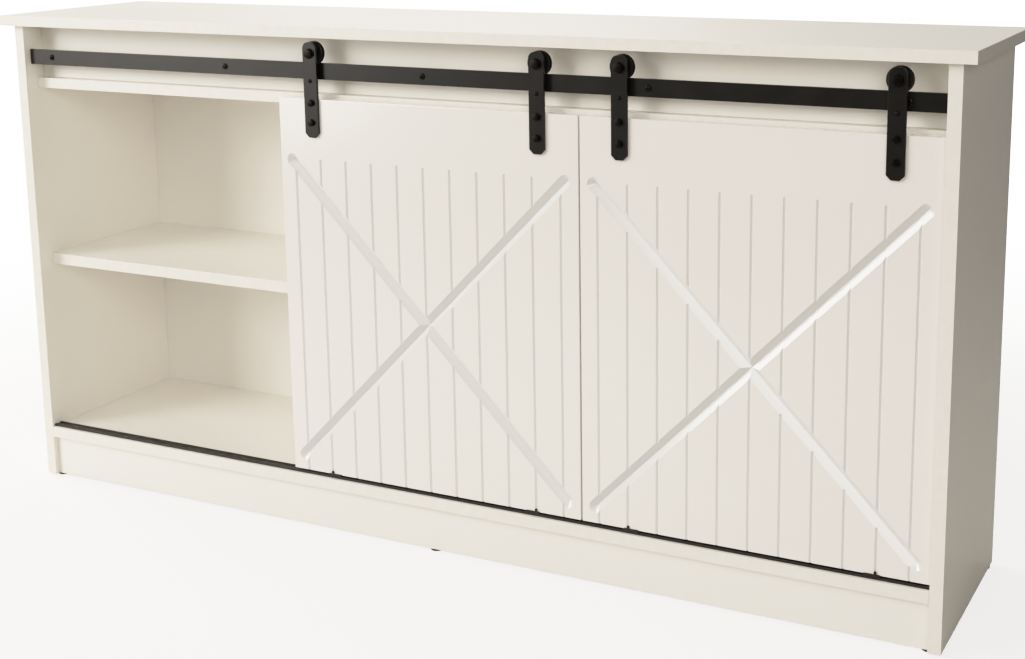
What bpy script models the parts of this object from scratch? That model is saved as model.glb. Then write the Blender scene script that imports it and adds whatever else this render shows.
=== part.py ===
"""Long sideboard with two sliding plank doors hung from a flat steel rail.

Three bays stand side by side between two side panels, each bay with one shelf. Two doors, each as
wide as one bay, hang on strap hangers whose wheels roll on a rail under the overhanging top.

Frame: metres, +Z up, +X to the right and +Y to the back, as seen from the front. The origin is on
the floor, under the middle of the top panel. Heights are measured from the underside of the side
panels, and setbacks from the front edges of the side panels, unless a name says otherwise.
"""

import math

import bmesh
import bpy
from mathutils import Matrix, Vector

# Driving dimensions of the cabinet
TOP_LENGTH = 1.600
TOP_DEPTH = 0.345
TOP_THICKNESS = 0.0165
SIDE_HEIGHT = 0.782
BOARD = 0.018
BACK_SHEET = 0.003
SIDE_OVERHANG = 0.0195
FRONT_OVERHANG = 0.0145
BACK_OVERHANG = 0.004
FOOT_HEIGHT = 0.003
GAP = 0.0003
EDGE_ROUNDING = 0.0008

# Inside layout
BOTTOM_PANEL_HEIGHT = 0.069
SHELF_HEIGHT = 0.372
CEILING_HEIGHT = 0.6765
PLINTH_SETBACK = 0.0085
CEILING_SETBACK = 0.0265
SHELF_SETBACK = 0.030
APRON_SETBACK = 0.0405
BACK_SETBACK = 0.307
BACK_GROOVE_DEPTH = 0.005
BAY_COUNT = 3

# Doors
DOOR_WIDTH = 0.506
DOOR_HEIGHT = 0.594
DOOR_BOTTOM = 0.0935
DOOR_SETBACK = 0.0055
DOOR_PITCH = 0.5085
PLANK_PITCH = 0.0451
PLANK_GROOVES = 11
PLANK_GROOVE_WIDTH = 0.005
PLANK_GROOVE_TOP = 0.597
CROSS_GROOVE_WIDTH = 0.020
CROSS_HALF_WIDTH = 0.232
CROSS_HALF_HEIGHT = 0.237
CROSS_HEIGHT = 0.356

# Rail and its fixings
RAIL_HEIGHT = 0.025
RAIL_THICKNESS = 0.005
RAIL_BOTTOM = 0.7175
RAIL_SETBACK = 0.011
RAIL_END_GAP = 0.002
RAIL_FIXINGS = 5
RAIL_FIXING_PITCH = 0.3565
STANDOFF_RADIUS = 0.007
RAIL_SCREW_RADIUS = 0.0025
RAIL_SCREW_HEAD_RADIUS = 0.0048
RAIL_SCREW_HEAD_HEIGHT = 0.0026
RAIL_SCREW_GRIP = 0.012

# Hangers
STRAP_WIDTH = 0.0243
STRAP_THICKNESS = 0.004
STRAP_BOTTOM = 0.6297
STRAP_TOP = 0.7737
STRAP_TOP_ROUNDING = 0.0095
STRAP_FOOT_CHAMFER = 0.0065
STRAP_OFFSET = 0.191
AXLE_HEIGHT = 0.757
AXLE_RADIUS = 0.004
AXLE_HEAD_ACROSS_FLATS = 0.013
AXLE_HEAD_HEIGHT = 0.0045
AXLE_COLLAR_RADIUS = 0.0062
AXLE_NUT_HEIGHT = 0.005
WHEEL_FRONT_SETBACK = 0.0095
WHEEL_WIDTH = 0.008
WHEEL_FLANGE_RADIUS = 0.0176
WHEEL_TREAD_RADIUS = 0.0143
WHEEL_TREAD_WIDTH = 0.0058
DOOR_SCREW_HEIGHTS = (0.6825, 0.6525)
DOOR_SCREW_RADIUS = 0.0024
DOOR_SCREW_LENGTH = 0.018
DOOR_SCREW_ACROSS_FLATS = 0.0095
DOOR_SCREW_HEAD_HEIGHT = 0.0035
GUARD_PIN_HEIGHT = 0.7156
GUARD_PIN_RADIUS = 0.0015
GUARD_PIN_HEAD_RADIUS = 0.0032
GUARD_PIN_HEAD_HEIGHT = 0.002
GUARD_PIN_REACH = 0.014
HOLE_CLEARANCE = 0.0002

# Shape of a domed head, as shares of its radius and of its height
DOME_FLAT = 0.65
DOME_SHOULDER = 0.85
DOME_RIM = 0.35

# Bottom track and the clips that keep the doors over it
TRACK_SETBACK = 0.005
TRACK_DEPTH = 0.016
TRACK_HEIGHT = 0.0038
CLIP_OFFSET = 0.175
CLIP_LENGTH = 0.022
CLIP_THICKNESS = 0.0016
CLIP_LIP_RISE = 0.0015

# Feet
FOOT_RADIUS = 0.010
FOOT_SETBACK = 0.018
END_FOOT_OFFSET = 0.7605

# Facets of round pieces, the turn at which an edge shows as sharp, and the limits of what is one
# point and what is one flat face
WHEEL_FACETS = 40
SMALL_FACETS = 20
HEX_SIDES = 6
CORNER_STEPS = 6
SHARP_ANGLE = math.radians(40)
MERGE_DISTANCE = 0.00001
FLAT_ANGLE = 0.001

# Places worked out from the sizes above, in the part's own frame
floor_to_sides = FOOT_HEIGHT
top_underside = floor_to_sides + SIDE_HEIGHT
outer_half = TOP_LENGTH / 2 - SIDE_OVERHANG
inner_half = outer_half - BOARD
front_plane = -TOP_DEPTH / 2 + FRONT_OVERHANG
back_plane = TOP_DEPTH / 2 - BACK_OVERHANG
bay_width = (2 * inner_half - (BAY_COUNT - 1) * BOARD) / BAY_COUNT
rail_top = floor_to_sides + RAIL_BOTTOM + RAIL_HEIGHT
rail_middle = rail_top - RAIL_HEIGHT / 2

BOARD_WHITE = (0.79, 0.74, 0.67)
SHEET_WHITE = (0.72, 0.66, 0.55)
BLACK_STEEL = (0.018, 0.015, 0.013)
BLACK_PLASTIC = (0.012, 0.012, 0.012)
BOARD_ROUGHNESS = 0.45
SHEET_ROUGHNESS = 0.6
STEEL_ROUGHNESS = 0.4
STEEL_METALLIC = 0.6
PLASTIC_ROUGHNESS = 0.5


def height(value):
    """Level in the part's frame of a height measured from the underside of the side panels."""
    return floor_to_sides + value


def depth(setback):
    """Place along Y of a setback measured from the front edges of the side panels."""
    return front_plane + setback


def clear_scene():
    for old in list(bpy.data.objects):
        bpy.data.objects.remove(old, do_unlink=True)


def new_collection(name):
    collection = bpy.data.collections.new(name)
    bpy.context.scene.collection.children.link(collection)
    return collection


def add_material(obj, colour, roughness, metallic):
    material = bpy.data.materials.new(obj.name)
    material.use_nodes = True
    shader = material.node_tree.nodes["Principled BSDF"]
    shader.inputs["Base Color"].default_value = (*colour, 1.0)
    shader.inputs["Roughness"].default_value = roughness
    shader.inputs["Metallic"].default_value = metallic
    obj.data.materials.append(material)


def add_steel(obj):
    add_material(obj, BLACK_STEEL, STEEL_ROUGHNESS, STEEL_METALLIC)


def add_plastic(obj):
    add_material(obj, BLACK_PLASTIC, PLASTIC_ROUGHNESS, 0.0)


def add_object(name, mesh, location, collection):
    obj = bpy.data.objects.new(name, mesh)
    obj.location = location
    collection.objects.link(obj)
    return obj


def box_mesh(name, size):
    mesh = bpy.data.meshes.new(name)
    shape = bmesh.new()
    bmesh.ops.create_cube(shape, size=1.0, matrix=Matrix.Diagonal((*size, 1.0)))
    shape.to_mesh(mesh)
    shape.free()
    return mesh


def add_box(name, x_span, y_span, z_span, collection, rounding=0.0):
    """Box between three pairs of limits, with its edges rounded if asked."""
    spans = (x_span, y_span, z_span)
    size = [high - low for low, high in spans]
    centre = [(high + low) / 2 for low, high in spans]
    obj = add_object(name, box_mesh(name, size), centre, collection)
    if rounding:
        bevel = obj.modifiers.new("rounded edges", "BEVEL")
        bevel.width = rounding
        bevel.segments = 2
    return obj


def add_board(name, x_span, y_span, z_span):
    board = add_box(name, x_span, y_span, z_span, parts, EDGE_ROUNDING)
    add_material(board, BOARD_WHITE, BOARD_ROUGHNESS, 0.0)
    return board


def rod_mesh(name, radius, low, high, facets):
    """Cylinder or prism about the local Z axis between two heights."""
    mesh = bpy.data.meshes.new(name)
    shape = bmesh.new()
    bmesh.ops.create_cone(
        shape,
        cap_ends=True,
        segments=facets,
        radius1=radius,
        radius2=radius,
        depth=high - low,
        matrix=Matrix.Translation((0, 0, (high + low) / 2)),
    )
    shape.to_mesh(mesh)
    shape.free()
    mesh.shade_smooth()
    mesh.set_sharp_from_angle(angle=SHARP_ANGLE)
    return mesh


def face_forward(obj):
    """Turn a piece made along +Z so that it points out of the cabinet's front."""
    obj.rotation_euler = (math.radians(90), 0, 0)


def add_turned(name, profile, location, collection, facets):
    """Profile of (radius, height) points from top to bottom, turned about the piece's own axis."""
    mesh = bpy.data.meshes.new(name)
    shape = bmesh.new()
    corners = [shape.verts.new((radius, 0, level)) for radius, level in profile]
    for upper, lower in zip(corners, corners[1:]):
        shape.edges.new((upper, lower))
    shape.to_mesh(mesh)
    shape.free()
    obj = add_object(name, mesh, location, collection)
    face_forward(obj)
    screw = obj.modifiers.new("turned", "SCREW")
    screw.steps = facets
    screw.render_steps = facets
    screw.use_merge_vertices = True
    screw.merge_threshold = MERGE_DISTANCE
    screw.use_smooth_shade = True
    return obj


def combine(target, other, operation):
    boolean = target.modifiers.new(other.name, "BOOLEAN")
    boolean.operation = operation
    boolean.object = other


def as_cutter(obj):
    obj.hide_render = True
    obj.display_type = "WIRE"
    return obj


def drill(target, place, shank_radius, length):
    """Clearance hole along Y for a shank, with its middle at the given place."""
    name = f"{target.name} hole {len(target.modifiers)}"
    mesh = rod_mesh(name, shank_radius + HOLE_CLEARANCE, -length / 2, length / 2, SMALL_FACETS)
    cutter = as_cutter(add_object(name, mesh, place, cutters))
    face_forward(cutter)
    combine(target, cutter, "DIFFERENCE")


def carve(target, start, end, width):
    """V-shaped groove along the straight run of a pointed bit, with the bit's cone at both ends."""
    radius = width / 2
    name = f"{target.name} groove {len(target.modifiers)}"
    mesh = bpy.data.meshes.new(name)
    shape = bmesh.new()
    for place in (start, end):
        for tip in (radius, -radius):
            turn = Matrix.Rotation(math.radians(-90) * math.copysign(1, tip), 4, "X")
            bmesh.ops.create_cone(
                shape,
                cap_ends=True,
                segments=SMALL_FACETS,
                radius1=radius,
                radius2=0.0,
                depth=radius,
                matrix=Matrix.Translation(place + Vector((0, tip / 2, 0))) @ turn,
            )
    hull = bmesh.ops.convex_hull(shape, input=shape.verts)
    inside = set(hull["geom_interior"]) | set(hull["geom_unused"])
    corners = [item for item in inside if isinstance(item, bmesh.types.BMVert)]
    bmesh.ops.delete(shape, geom=corners, context="VERTS")
    bmesh.ops.remove_doubles(shape, verts=shape.verts, dist=MERGE_DISTANCE)
    bmesh.ops.dissolve_limit(shape, angle_limit=FLAT_ANGLE, verts=shape.verts, edges=shape.edges)
    bmesh.ops.recalc_face_normals(shape, faces=shape.faces)
    shape.to_mesh(mesh)
    shape.free()
    cutter = as_cutter(add_object(name, mesh, (0, 0, 0), cutters))
    combine(target, cutter, "DIFFERENCE")


def add_empty(name, location):
    empty = bpy.data.objects.new(name, None)
    empty.location = location
    parts.objects.link(empty)
    return empty


def hang_on(piece, empty):
    """Make a piece follow an empty without moving it."""
    piece.parent = empty
    piece.matrix_parent_inverse = Matrix.Translation(empty.location).inverted()


def build_side_panel(name, side):
    """Side panel from the feet to the top, with a groove near its back for the back sheet."""
    x_span = sorted((side * inner_half, side * outer_half))
    panel = add_board(name, x_span, (front_plane, back_plane), (height(0), top_underside))
    groove = add_box(
        f"{name} back groove",
        sorted((side * (inner_half - BOARD), side * (inner_half + BACK_GROOVE_DEPTH))),
        (depth(BACK_SETBACK) - GAP, depth(BACK_SETBACK) + BACK_SHEET + GAP),
        (height(BOTTOM_PANEL_HEIGHT) - GAP, top_underside + BOARD),
        cutters,
    )
    combine(panel, as_cutter(groove), "DIFFERENCE")


def build_top_panel():
    half = TOP_LENGTH / 2
    low = top_underside + GAP
    add_board("top_panel", (-half, half), (-TOP_DEPTH / 2, TOP_DEPTH / 2), (low, low + TOP_THICKNESS))


def build_bottom_panel():
    low = height(BOTTOM_PANEL_HEIGHT)
    reach = inner_half - GAP
    add_board(
        "bottom_panel",
        (-reach, reach),
        (front_plane, depth(BACK_SETBACK) - GAP),
        (low, low + BOARD),
    )


def build_plinth():
    near = depth(PLINTH_SETBACK)
    reach = inner_half - GAP
    add_board(
        "plinth",
        (-reach, reach),
        (near, near + BOARD),
        (height(0), height(BOTTOM_PANEL_HEIGHT) - GAP),
    )


def build_ceiling_panel():
    low = height(CEILING_HEIGHT)
    reach = inner_half - GAP
    add_board(
        "ceiling_panel",
        (-reach, reach),
        (depth(CEILING_SETBACK), depth(BACK_SETBACK) - GAP),
        (low, low + TOP_THICKNESS),
    )


def build_apron():
    """Upright board behind the rail that carries it and closes the space under the top."""
    near = depth(APRON_SETBACK)
    reach = inner_half - GAP
    apron = add_board(
        "apron",
        (-reach, reach),
        (near, near + BOARD),
        (height(CEILING_HEIGHT) + TOP_THICKNESS + GAP, top_underside),
    )
    for x in rail_fixing_places():
        drill(apron, (x, near, rail_middle), RAIL_SCREW_RADIUS, 2 * (RAIL_SCREW_GRIP + GAP))


def build_back_panel():
    """Thin sheet held in the grooves of the side panels, behind the bottom and ceiling panels."""
    reach = inner_half + BACK_GROOVE_DEPTH - GAP
    near = depth(BACK_SETBACK)
    sheet = add_box(
        "back_panel",
        (-reach, reach),
        (near, near + BACK_SHEET),
        (height(BOTTOM_PANEL_HEIGHT), top_underside),
        parts,
    )
    add_material(sheet, SHEET_WHITE, SHEET_ROUGHNESS, 0.0)


def bay_left_edge(bay):
    return -inner_half + bay * (bay_width + BOARD)


def build_dividers():
    low = height(BOTTOM_PANEL_HEIGHT) + BOARD + GAP
    high = height(CEILING_HEIGHT) - GAP
    for bay, name in ((1, "left_divider"), (2, "right_divider")):
        right = bay_left_edge(bay)
        y_span = (depth(SHELF_SETBACK), depth(BACK_SETBACK) - GAP)
        add_board(name, (right - BOARD, right), y_span, (low, high))


def build_shelves():
    low = height(SHELF_HEIGHT)
    for bay, name in enumerate(("left_shelf", "middle_shelf", "right_shelf")):
        left = bay_left_edge(bay)
        add_board(
            name,
            (left + GAP, left + bay_width - GAP),
            (depth(SHELF_SETBACK), depth(BACK_SETBACK) - GAP),
            (low, low + BOARD),
        )


def build_feet():
    """Round glides: two under each side panel's end of the base and one under the plinth's middle."""
    y_front = depth(FOOT_SETBACK)
    y_back = back_plane - FOOT_SETBACK
    places = {
        "left_front_foot": (-END_FOOT_OFFSET, y_front),
        "middle_front_foot": (0, y_front),
        "right_front_foot": (END_FOOT_OFFSET, y_front),
        "left_back_foot": (-(outer_half - FOOT_RADIUS), y_back),
        "right_back_foot": (outer_half - FOOT_RADIUS, y_back),
    }
    for name, (x, y) in places.items():
        mesh = rod_mesh(name, FOOT_RADIUS, 0, FOOT_HEIGHT - GAP, SMALL_FACETS)
        add_plastic(add_object(name, mesh, (x, y, 0), parts))


def rail_fixing_places():
    middle = (RAIL_FIXINGS - 1) / 2
    return [(number - middle) * RAIL_FIXING_PITCH for number in range(RAIL_FIXINGS)]


def build_rail():
    reach = inner_half - RAIL_END_GAP
    near = depth(RAIL_SETBACK)
    rail = add_box(
        "rail",
        (-reach, reach),
        (near, near + RAIL_THICKNESS),
        (height(RAIL_BOTTOM), rail_top),
        parts,
        EDGE_ROUNDING / 2,
    )
    for x in rail_fixing_places():
        drill(rail, (x, near, rail_middle), RAIL_SCREW_RADIUS, 3 * RAIL_THICKNESS)
    add_steel(rail)


def domed_pin(head_radius, head_height, shank_radius, shank_end):
    """Profile of a domed head just off the face at zero, with a blunt shank down to its end."""
    return [
        (0, GAP + head_height),
        (head_radius * DOME_FLAT, GAP + head_height * DOME_SHOULDER),
        (head_radius, GAP + head_height * DOME_RIM),
        (head_radius, GAP),
        (shank_radius, GAP),
        (shank_radius, shank_end + shank_radius),
        (0, shank_end),
    ]


def build_rail_fixings():
    """Tube standoffs between the rail and the apron, and the screws that run through them."""
    rail_front = depth(RAIL_SETBACK)
    rail_back = rail_front + RAIL_THICKNESS
    standoff_length = depth(APRON_SETBACK) - rail_back - 2 * GAP
    bore = RAIL_SCREW_RADIUS + HOLE_CLEARANCE
    for number, x in enumerate(rail_fixing_places(), start=1):
        tube = [
            (bore, 0),
            (STANDOFF_RADIUS, 0),
            (STANDOFF_RADIUS, -standoff_length),
            (bore, -standoff_length),
            (bore, 0),
        ]
        place = (x, rail_back + GAP, rail_middle)
        add_steel(add_turned(f"rail_standoff_{number}", tube, place, parts, SMALL_FACETS))
        shank_end = -(depth(APRON_SETBACK) - rail_front + RAIL_SCREW_GRIP)
        screw = domed_pin(
            RAIL_SCREW_HEAD_RADIUS, RAIL_SCREW_HEAD_HEIGHT, RAIL_SCREW_RADIUS, shank_end
        )
        place = (x, rail_front, rail_middle)
        add_steel(add_turned(f"rail_screw_{number}", screw, place, parts, SMALL_FACETS))


def build_track():
    """Low strip along the front of the bottom panel, under the doors."""
    low = height(BOTTOM_PANEL_HEIGHT) + BOARD + GAP
    near = depth(TRACK_SETBACK)
    reach = inner_half - GAP
    y_span = (near, near + TRACK_DEPTH)
    add_steel(add_box("bottom_track", (-reach, reach), y_span, (low, low + TRACK_HEIGHT), parts))


def strap_outline():
    """Front view of a hanger strap about its axle: rounded at the top, cornered off at the foot."""
    half = STRAP_WIDTH / 2
    top = STRAP_TOP - AXLE_HEIGHT
    foot = STRAP_BOTTOM - AXLE_HEIGHT
    right_side = [(half - STRAP_FOOT_CHAMFER, foot), (half, foot + STRAP_FOOT_CHAMFER)]
    for step in range(CORNER_STEPS + 1):
        angle = math.radians(90 * step / CORNER_STEPS)
        x = half - STRAP_TOP_ROUNDING + STRAP_TOP_ROUNDING * math.cos(angle)
        z = top - STRAP_TOP_ROUNDING + STRAP_TOP_ROUNDING * math.sin(angle)
        right_side.append((x, z))
    left_side = [(-x, z) for x, z in reversed(right_side)]
    return right_side + left_side


def mesh_from_outline(name, outline, thickness):
    """Solid mesh of a flat outline in local XY, from Z = 0 down to minus its thickness."""
    curve = bpy.data.curves.new(name, "CURVE")
    curve.dimensions = "2D"
    curve.fill_mode = "BOTH"
    curve.extrude = thickness / 2
    spline = curve.splines.new("POLY")
    spline.points.add(len(outline) - 1)
    for point, (x, y) in zip(spline.points, outline):
        point.co = (x, y, 0, 1)
    spline.use_cyclic_u = True
    drawing = bpy.data.objects.new(name, curve)
    bpy.context.scene.collection.objects.link(drawing)
    graph = bpy.context.evaluated_depsgraph_get()
    mesh = bpy.data.meshes.new_from_object(drawing.evaluated_get(graph))
    bpy.data.objects.remove(drawing, do_unlink=True)
    shape = bmesh.new()
    shape.from_mesh(mesh)
    bmesh.ops.remove_doubles(shape, verts=shape.verts, dist=MERGE_DISTANCE)
    bmesh.ops.translate(shape, verts=shape.verts, vec=(0, 0, -thickness / 2))
    shape.to_mesh(mesh)
    shape.free()
    mesh.materials.clear()
    return mesh


def strap_front():
    return depth(DOOR_SETBACK) - GAP - STRAP_THICKNESS


def build_strap(name, x, door_empty):
    mesh = mesh_from_outline(name, strap_outline(), STRAP_THICKNESS)
    strap = add_object(name, mesh, (x, strap_front(), height(AXLE_HEIGHT)), parts)
    face_forward(strap)
    holes = [(AXLE_HEIGHT, AXLE_RADIUS), (GUARD_PIN_HEIGHT, GUARD_PIN_RADIUS)]
    holes += [(level, DOOR_SCREW_RADIUS) for level in DOOR_SCREW_HEIGHTS]
    for level, radius in holes:
        drill(strap, (x, strap_front(), height(level)), radius, 3 * STRAP_THICKNESS)
    add_steel(strap)
    hang_on(strap, door_empty)


def build_wheel(name, x, door_empty):
    """Flanged wheel that rolls on the top edge of the rail, with a plain bore."""
    bore = AXLE_RADIUS + HOLE_CLEARANCE
    flange = (WHEEL_WIDTH - WHEEL_TREAD_WIDTH) / 2
    profile = [
        (bore, 0),
        (WHEEL_FLANGE_RADIUS, 0),
        (WHEEL_FLANGE_RADIUS, -flange),
        (WHEEL_TREAD_RADIUS, -flange),
        (WHEEL_TREAD_RADIUS, flange - WHEEL_WIDTH),
        (WHEEL_FLANGE_RADIUS, flange - WHEEL_WIDTH),
        (WHEEL_FLANGE_RADIUS, -WHEEL_WIDTH),
        (bore, -WHEEL_WIDTH),
        (bore, 0),
    ]
    place = (x, depth(WHEEL_FRONT_SETBACK), height(AXLE_HEIGHT))
    wheel = add_turned(name, profile, place, parts, WHEEL_FACETS)
    add_plastic(wheel)
    hang_on(wheel, door_empty)


def add_hex_block(target, name, across_flats, low, high, place):
    """Join a hex head or nut to a turned shank, between two heights along its axis."""
    radius = across_flats / 2 / math.cos(math.pi / HEX_SIDES)
    mesh = rod_mesh(name, radius, low, high, HEX_SIDES)
    block = as_cutter(add_object(name, mesh, place, cutters))
    face_forward(block)
    combine(target, block, "UNION")


def build_axle_bolt(name, x, door_empty):
    """Hex bolt through strap and wheel, with a collar between them and a nut run up behind."""
    wheel_front = depth(WHEEL_FRONT_SETBACK) - strap_front()
    wheel_back = wheel_front + WHEEL_WIDTH
    nut_end = -(wheel_back + 2 * GAP + AXLE_NUT_HEIGHT)
    shank = [
        (0, GAP + AXLE_HEAD_HEIGHT / 2),
        (AXLE_RADIUS, GAP + AXLE_HEAD_HEIGHT / 2),
        (AXLE_RADIUS, -(STRAP_THICKNESS + GAP)),
        (AXLE_COLLAR_RADIUS, -(STRAP_THICKNESS + GAP)),
        (AXLE_COLLAR_RADIUS, -(wheel_front - GAP)),
        (AXLE_RADIUS, -(wheel_front - GAP)),
        (AXLE_RADIUS, nut_end + AXLE_NUT_HEIGHT / 2),
        (0, nut_end + AXLE_NUT_HEIGHT / 2),
    ]
    place = (x, strap_front(), height(AXLE_HEIGHT))
    bolt = add_turned(name, shank, place, parts, SMALL_FACETS)
    across = AXLE_HEAD_ACROSS_FLATS
    add_hex_block(bolt, f"{name} head", across, GAP, GAP + AXLE_HEAD_HEIGHT, place)
    add_hex_block(bolt, f"{name} nut", across, nut_end, nut_end + AXLE_NUT_HEIGHT, place)
    add_steel(bolt)
    hang_on(bolt, door_empty)


def build_door_screw(name, x, level, door_empty):
    """Hex-head wood screw that holds a strap to the face of its door."""
    tip = -(DOOR_SCREW_LENGTH + GAP)
    shank = [
        (0, GAP + DOOR_SCREW_HEAD_HEIGHT / 2),
        (DOOR_SCREW_RADIUS, GAP + DOOR_SCREW_HEAD_HEIGHT / 2),
        (DOOR_SCREW_RADIUS, tip + DOOR_SCREW_RADIUS),
        (0, tip),
    ]
    place = (x, strap_front(), height(level))
    screw = add_turned(name, shank, place, parts, SMALL_FACETS)
    across = DOOR_SCREW_ACROSS_FLATS
    add_hex_block(screw, f"{name} head", across, GAP, GAP + DOOR_SCREW_HEAD_HEIGHT, place)
    add_steel(screw)
    hang_on(screw, door_empty)


def build_guard_pin(name, x, door_empty):
    """Pin through the strap whose tail lies just under the rail, so that the door can't be lifted off."""
    profile = domed_pin(
        GUARD_PIN_HEAD_RADIUS, GUARD_PIN_HEAD_HEIGHT, GUARD_PIN_RADIUS, -GUARD_PIN_REACH
    )
    place = (x, strap_front(), height(GUARD_PIN_HEIGHT))
    pin = add_turned(name, profile, place, parts, SMALL_FACETS)
    add_steel(pin)
    hang_on(pin, door_empty)


def build_clip(name, x, door_empty):
    """Angle clip under the door: a plate below its edge and a low lip on its face."""
    door_face = depth(DOOR_SETBACK)
    door_foot = height(DOOR_BOTTOM)
    x_span = (x - CLIP_LENGTH / 2, x + CLIP_LENGTH / 2)
    plate_top = door_foot - GAP
    plate_low = plate_top - CLIP_THICKNESS
    lip_face = door_face - GAP - CLIP_THICKNESS
    clip = add_box(name, x_span, (lip_face, door_face + BOARD / 2), (plate_low, plate_top), parts)
    lip = add_box(
        f"{name} lip",
        x_span,
        (lip_face, lip_face + CLIP_THICKNESS),
        (plate_low, door_foot + CLIP_LIP_RISE),
        cutters,
    )
    combine(clip, as_cutter(lip), "UNION")
    add_plastic(clip)
    hang_on(clip, door_empty)


def build_door_panel(name, centre, door_empty):
    """Door board with upright plank grooves and a crossed pair of wide grooves cut in its face."""
    half = DOOR_WIDTH / 2
    low = height(DOOR_BOTTOM)
    face = depth(DOOR_SETBACK)
    panel = add_board(
        name, (centre - half, centre + half), (face, face + BOARD), (low, low + DOOR_HEIGHT)
    )
    middle = (PLANK_GROOVES - 1) / 2
    for number in range(PLANK_GROOVES):
        x = centre + (number - middle) * PLANK_PITCH
        foot = Vector((x, face, low - PLANK_GROOVE_WIDTH))
        head = Vector((x, face, height(PLANK_GROOVE_TOP) - PLANK_GROOVE_WIDTH / 2))
        carve(panel, foot, head, PLANK_GROOVE_WIDTH)
    cross = Vector((centre, face, height(CROSS_HEIGHT)))
    for slope in (1, -1):
        arm = Vector((CROSS_HALF_WIDTH, 0, slope * CROSS_HALF_HEIGHT))
        carve(panel, cross - arm, cross + arm, CROSS_GROOVE_WIDTH)
    hole_length = 2 * (DOOR_SCREW_LENGTH - STRAP_THICKNESS + GAP)
    for side in (-1, 1):
        for level in DOOR_SCREW_HEIGHTS:
            place = (centre + side * STRAP_OFFSET, face, height(level))
            drill(panel, place, DOOR_SCREW_RADIUS, hole_length)
    hang_on(panel, door_empty)


def build_door(prefix, centre):
    """One door with two hangers and two bottom clips, all under an empty on the rail's line."""
    slide = add_empty(f"{prefix}_slide", Vector((centre, depth(RAIL_SETBACK), rail_top)))
    build_door_panel(f"{prefix}_panel", centre, slide)
    for side, sign in (("left", -1), ("right", 1)):
        x = centre + sign * STRAP_OFFSET
        build_strap(f"{prefix}_{side}_strap", x, slide)
        build_wheel(f"{prefix}_{side}_wheel", x, slide)
        build_axle_bolt(f"{prefix}_{side}_axle_bolt", x, slide)
        build_guard_pin(f"{prefix}_{side}_guard_pin", x, slide)
        for place, level in zip(("upper", "lower"), DOOR_SCREW_HEIGHTS):
            build_door_screw(f"{prefix}_{side}_{place}_screw", x, level, slide)
        build_clip(f"{prefix}_{side}_clip", centre + sign * CLIP_OFFSET, slide)


clear_scene()
parts = new_collection("sideboard")
cutters = new_collection("cutters")
build_top_panel()
build_side_panel("left_side_panel", -1)
build_side_panel("right_side_panel", 1)
build_bottom_panel()
build_plinth()
build_ceiling_panel()
build_apron()
build_back_panel()
build_dividers()
build_shelves()
build_feet()
build_rail()
build_rail_fixings()
build_track()
build_door("left_door", 0.0)
build_door("right_door", DOOR_PITCH)
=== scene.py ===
"""Looks of a long white sideboard with two sliding plank doors on a flat black rail.

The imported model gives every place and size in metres: +X to the right, +Y to the back and +Z up, as
seen from the front. The sections follow the sideboard as it is put together: boards, back, base,
rail, doors and their hangers, then the studio round it.
"""

import math

import bmesh
import bpy
from mathutils import Matrix, Vector


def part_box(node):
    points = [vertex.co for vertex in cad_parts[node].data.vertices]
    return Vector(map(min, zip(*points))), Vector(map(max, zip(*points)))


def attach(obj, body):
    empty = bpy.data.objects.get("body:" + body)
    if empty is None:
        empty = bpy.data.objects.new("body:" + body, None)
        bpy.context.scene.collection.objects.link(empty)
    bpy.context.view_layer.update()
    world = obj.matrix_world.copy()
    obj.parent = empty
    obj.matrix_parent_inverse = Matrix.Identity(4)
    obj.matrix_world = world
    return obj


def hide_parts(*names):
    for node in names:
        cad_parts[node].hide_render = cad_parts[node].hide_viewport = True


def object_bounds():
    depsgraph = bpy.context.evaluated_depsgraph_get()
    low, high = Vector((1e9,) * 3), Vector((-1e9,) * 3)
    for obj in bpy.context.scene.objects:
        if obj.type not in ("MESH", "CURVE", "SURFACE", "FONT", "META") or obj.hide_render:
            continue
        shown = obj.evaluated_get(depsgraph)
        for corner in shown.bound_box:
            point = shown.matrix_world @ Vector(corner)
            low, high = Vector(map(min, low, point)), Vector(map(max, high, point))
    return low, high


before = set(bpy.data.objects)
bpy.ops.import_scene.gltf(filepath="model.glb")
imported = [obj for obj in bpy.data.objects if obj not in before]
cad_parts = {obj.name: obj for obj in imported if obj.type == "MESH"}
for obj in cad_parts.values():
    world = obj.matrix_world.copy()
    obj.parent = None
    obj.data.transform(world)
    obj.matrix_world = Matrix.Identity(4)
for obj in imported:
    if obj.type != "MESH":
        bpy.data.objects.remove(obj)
cad_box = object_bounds()

# --- Carcass boards ------------------------------------------------------------------------------
# Eighteen-millimetre chipboard faced with white melamine paper, pressed against an embossed plate
# that leaves a fine pearl texture. The boards are cut to size, edged and joined with hidden dowels.

CARCASS_BOARDS = (
    "top_panel",
    "left_side_panel",
    "right_side_panel",
    "bottom_panel",
    "plinth",
    "ceiling_panel",
    "apron",
    "left_divider",
    "right_divider",
    "left_shelf",
    "middle_shelf",
    "right_shelf",
)
MELAMINE_COLOUR = "#F3F0E8"
MELAMINE_SHADE = "#F0ECE4"
# The real pearl grain is about half a millimetre, too fine to show, so it is drawn coarser.
PEARL_GRAIN = 0.0022
PEARL_DEPTH = 0.00006
PRESS_CLOUDS = 0.090


def linear(hex_colour):
    """An sRGB hex colour as linear red, green, blue and full alpha."""
    channels = [int(hex_colour[place : place + 2], 16) / 255 for place in (1, 3, 5)]
    curved = [c / 12.92 if c <= 0.04045 else ((c + 0.055) / 1.055) ** 2.4 for c in channels]
    return (*curved, 1.0)


def new_material(name):
    """Empty node material with its output node; the shader is linked to it last."""
    material = bpy.data.materials.new(name)
    material.use_nodes = True
    material.node_tree.nodes.clear()
    return material


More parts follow.
